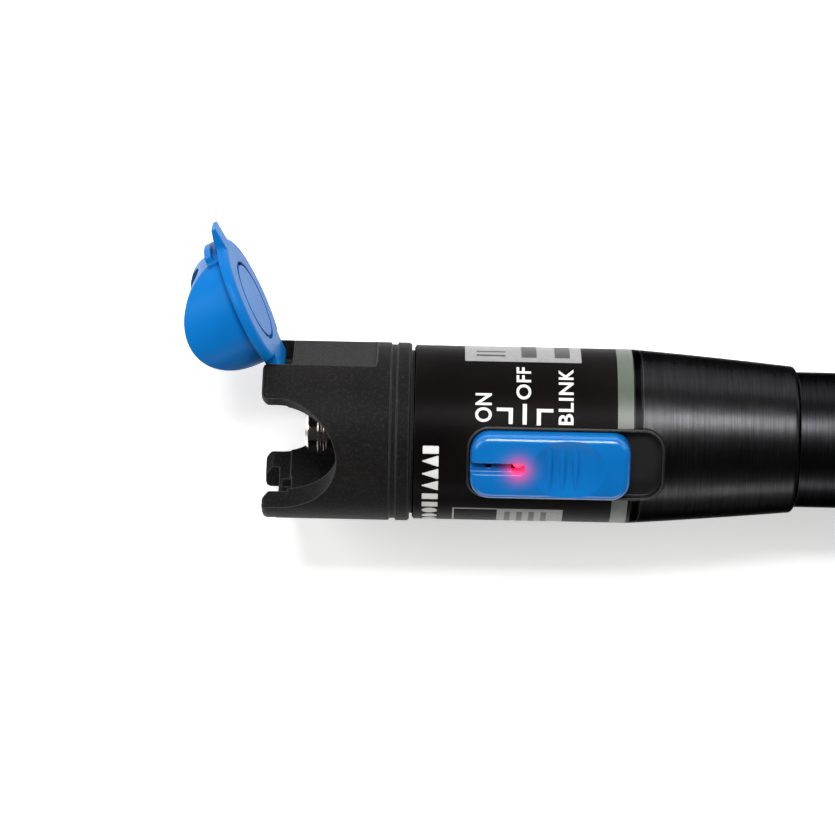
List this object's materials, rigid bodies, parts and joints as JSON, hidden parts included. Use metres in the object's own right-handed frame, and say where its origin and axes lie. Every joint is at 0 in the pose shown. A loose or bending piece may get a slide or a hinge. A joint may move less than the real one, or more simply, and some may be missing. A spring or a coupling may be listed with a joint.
{
  "type": "visual fault locator",
  "caption": "Pen-type visual fault locator: black tube with a slide switch, a notched head over a ferrule port, a hinged blue dust cap and an unscrewing tail cap.",
  "frame": {"origin": "centre of the ferrule port's mouth", "axes": "X along the pen's axis with the head towards -X and the tail towards +X; the slide switch faces +Z; the dust cap's hinge is on the +Y side"},
  "size_m": [0.1861, 0.0441, 0.0272],
  "materials": {
    "head_plastic": "fine grained black moulding",
    "cap_plastic": "semi-gloss blue moulding",
    "knob_plastic": "gloss blue moulding",
    "port_nickel": "bright nickel plating",
    "zirconia": "ground white ceramic",
    "steel": "drawn steel",
    "brass": "turned brass",
    "barrel_metal": "turned, natural",
    "lens_glass": "polished",
    "anodised": "turned, black anodised",
    "label_film": "gloss black film with plain markings",
    "bezel_plastic": "semi-gloss black moulding",
    "switch_black": "moulded",
    "lamp_red": "clear red lens",
    "board_green": "solder mask",
    "chip_black": "moulded package",
    "inner_plastic": "moulded",
    "cell_jacket": "printed jacket, plain",
    "seal_rubber": "moulded"
  },
  "bodies": {
    "pen": {"head_shell": "head_plastic", "hinge_pin": "steel", "port_adapter": "port_nickel", "ceramic_sleeve": "zirconia", "port_nut": "brass", "laser_barrel": "barrel_metal", "focusing_lens": "lens_glass", "lens_ring": "brass", "laser_diode": "steel", "laser_leads": "steel", "body_tube": "anodised", "label_wrap": "label_film", "switch_bezel": "bezel_plastic", "slide_switch": "steel", "status_led": "lamp_red", "driver_board": "board_green", "driver_chip": "chip_black", "board_cradle": "inner_plastic", "contact_disc": "inner_plastic", "front_contact": "brass", "battery_tube": "anodised", "battery_1": "cell_jacket", "battery_2": "cell_jacket", "tail_o_ring": "seal_rubber"},
    "cap": {"dust_cap": "cap_plastic"},
    "switch": {"switch_knob": "knob_plastic", "switch_lever": "switch_black"},
    "tail_slide": {"battery_spring": "steel", "spring_plate": "steel"},
    "tail": {"tail_cap": "anodised"}
  },
  "joints": [
    {"name": "cap_hinge", "type": "hinge", "parent": "pen", "child": "cap", "pos_m": [-0.0043, 0.0101, 0], "axis": [0, 0, 1], "range_deg": [0, 154.6]},
    {"name": "switch_slide", "type": "slide", "parent": "pen", "child": "switch", "axis": [1, 0, 0], "range_m": [0, 0.0044]},
    {"name": "tail_travel", "type": "slide", "parent": "pen", "child": "tail_slide", "axis": [1, 0, 0], "range_m": [0, 0.00501]},
    {"name": "tail_turn", "type": "hinge", "parent": "tail_slide", "child": "tail", "pos_m": [0.16, 0, 0], "axis": [1, 0, 0], "range_deg": [0, 1800]}
  ],
  "couplings": [
    {"joint": "tail_travel", "follows": "tail_turn", "m_per_rad": 0.00015915}
  ]
}
